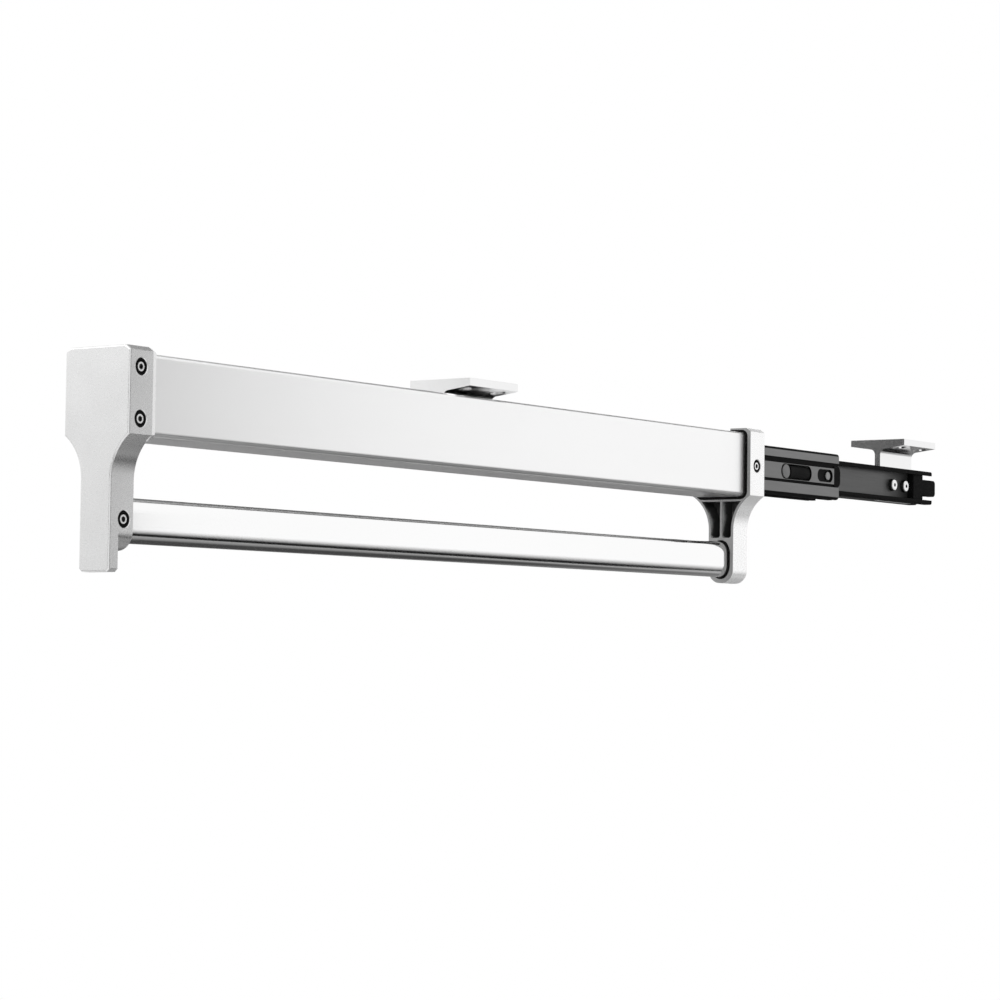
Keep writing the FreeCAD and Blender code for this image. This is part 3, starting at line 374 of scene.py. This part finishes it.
def black_rubber():
    return finish_of(
        "black_rubber", metallic=0.0, shades=(0.003, 0.006), rough=(0.65, 0.80),
        grain_scale=even(1800), depth=0.010 * MM, patch_scale=even(90), gloss=0.05,
    )


# Finishes by the record's material slots, which the functions are named after
SLOT_FINISHES = {
    make.__name__: make() for make in (
        anodised_beam, cast_bracket, hanger_alloy, polished_bar, black_slide_steel, dark_steel,
        bright_steel, ball_steel, black_plastic, black_rubber,
    )
}
# Finishes of single pieces, by their names without the side
# How far below the heads' faces the painted black shade begins
BOLT_RIM = 0.4 * MM
SCREW_RIM = 0.15 * MM
PIECE_FINISHES = {
    "rear_bracket": rear_bracket_alloy(),
    "middle_channel": middle_channel_steel(),
    "fixed_channel": fixed_channel_steel(),
    "middle_latch_rivet": rivet_steel(),
    "channel_bolts": socket_screw_steel("channel_bolts", BOLT_RIM),
}
for screws in ("front_bracket_screws", "rear_bracket_screws", "bar_screws"):
    PIECE_FINISHES[screws] = socket_screw_steel(screws, SCREW_RIM)


# Broken edges

# Widths, each with the pieces that have it, by their names without the side
EDGE_GROUPS = (
    (0.12 * MM, (
        "front_bracket_screws", "front_bracket_screw_cups", "rear_bracket_screws", "rear_bracket_screw_cups",
        "bar_screws", "bar_screw_cups",
    )),
    (0.15 * MM, ("fixed_channel", "middle_channel", "outer_channel")),
    (0.2 * MM, ("channel_nuts", "collar_liner")),
    (0.25 * MM, ("beam", "clothes_bar", "middle_end_bumper")),
    (0.35 * MM, ("front_bracket", "rear_bracket", "front_hanger", "rear_hanger")),
    (0.5 * MM, ("channel_rear_stop",)),
)
EDGE_WIDTHS = {kind: width for width, kinds in EDGE_GROUPS for kind in kinds}
EDGE_SEGMENTS = 2
EDGE_ANGLE = math.radians(16)
FLAT_ANGLE = math.radians(0.3)
WELD_DISTANCE = 0.001 * MM
EVEN_SHADING_WEIGHT = 50


def soften(piece, width):
    """Breaks a solid's sharp edges, which the drawing leaves dead sharp."""
    weld = piece.modifiers.new("weld", "WELD")
    weld.merge_threshold = WELD_DISTANCE
    flatten = piece.modifiers.new("flat_faces", "DECIMATE")
    flatten.decimate_type = "DISSOLVE"
    flatten.angle_limit = FLAT_ANGLE
    edge = piece.modifiers.new("broken_edges", "BEVEL")
    edge.width = width
    edge.segments = EDGE_SEGMENTS
    edge.limit_method = "ANGLE"
    edge.angle_limit = EDGE_ANGLE
    edge.use_clamp_overlap = True
    smooth = piece.modifiers.new("even_shading", "WEIGHTED_NORMAL")
    smooth.weight = EVEN_SHADING_WEIGHT


def dress(subpart):
    piece = frame["nodes"][subpart["node"]]
    kind = subpart["node"].removesuffix("_right").removesuffix("_left")
    finish = PIECE_FINISHES.get(kind) or SLOT_FINISHES[subpart["material_slot"]]
    piece.data.materials.clear()
    piece.data.materials.append(finish)
    if kind in EDGE_WIDTHS:
        soften(piece, EDGE_WIDTHS[kind])


for subpart in frame["record"]["subparts"]:
    dress(subpart)


# Floor, cards, light and camera

def matt(name, *grades):
    """A matt grey, the sum of grades that run along an axis between two pairs of place and shade."""
    material, tree, shader = shader_nodes(name)
    shade = 0.0
    for axis, (first_place, first_shade), (last_place, last_shade) in grades:
        grade = spread(tree, along(tree, axis), first_shade, last_shade, first_place, last_place)
        shade = calculate(tree, "ADD", grade, shade)
    tree.links.new(shade, shader.inputs["Base Color"])
    shader.inputs["Roughness"].default_value = MATT_ROUGHNESS
    shader.inputs["Specular IOR Level"].default_value = MATT_GLOSS
    return material


def sheet_of(name, corners, material):
    mesh = bpy.data.meshes.new(name)
    mesh.from_pydata(corners, [], [range(len(corners))])
    mesh.materials.append(material)
    sheet = bpy.data.objects.new(name, mesh)
    bpy.context.scene.collection.objects.link(sheet)
    return sheet


def level_corners(across, lengthwise, height):
    left, right = across
    front, rear = lengthwise
    return [(left, front, height), (right, front, height), (right, rear, height), (left, rear, height)]


def lay_floor():
    span = (-FLOOR_HALF, FLOOR_HALF)
    shade = matt("floor", ("X", (-FLOOR_HALF, FLOOR_SHADE), (FLOOR_HALF, FLOOR_SHADE)))
    sheet_of("floor", level_corners(span, span, -FLOOR_DROP), shade)


def hang_cards():
    """Cards outside the picture that give bright metal its dark lines, and shade nothing else."""
    cards = []
    for name, first, last, lower, upper in CARDS:
        low_height, high_height = lower[0], upper[0]
        corners = [(*first, low_height), (*last, low_height), (*last, high_height), (*first, high_height)]
        cards.append(sheet_of(name, corners, matt(name, ("Z", lower, upper))))
    apron = matt("apron", *APRON_GRADES)
    cards.append(sheet_of("apron", level_corners(APRON_ACROSS, APRON_ALONG, -APRON_DROP), apron))
    for card in cards:
        card.visible_camera = False
        card.visible_diffuse = False
        card.visible_shadow = False


def light_world():
    world = bpy.data.worlds.new("studio")
    bpy.context.scene.world = world
    world.use_nodes = True
    world.node_tree.nodes["Background"].inputs["Color"].default_value = WHITE


def hang_key_lamp():
    lamp = bpy.data.lights.new("key", "AREA")
    lamp.size = KEY_SIDE
    lamp.energy = KEY_WATTS
    holder = bpy.data.objects.new("key", lamp)
    holder.location = KEY_PLACE
    holder.rotation_mode = "QUATERNION"
    holder.rotation_quaternion = (Vector(KEY_AIM) - Vector(KEY_PLACE)).to_track_quat("-Z", "Y")
    bpy.context.scene.collection.objects.link(holder)


def set_camera():
    flat = math.cos(CAMERA_TILT_UP)
    ahead = Vector((
        -math.sin(CAMERA_AZIMUTH) * flat, math.cos(CAMERA_AZIMUTH) * flat, math.sin(CAMERA_TILT_UP)
    ))
    right = ahead.cross(Vector((0, 0, 1))).normalized()
    up = right.cross(ahead)
    turned_right = math.cos(CAMERA_ROLL) * right + math.sin(CAMERA_ROLL) * up
    turned_up = math.cos(CAMERA_ROLL) * up - math.sin(CAMERA_ROLL) * right
    camera = bpy.data.cameras.new("camera")
    camera.sensor_width = SENSOR_MM
    camera.lens = FOCAL_LENGTH_PIXELS * SENSOR_MM / IMAGE_SIDE_PIXELS
    holder = bpy.data.objects.new("camera", camera)
    turn = Matrix((turned_right, turned_up, -ahead)).transposed().to_4x4()
    holder.matrix_world = Matrix.Translation(CAMERA_PLACE) @ turn
    bpy.context.scene.collection.objects.link(holder)
    bpy.context.scene.camera = holder


lay_floor()
hang_cards()
light_world()
hang_key_lamp()
set_camera()
bpy.context.scene.view_settings.view_transform = "Standard"
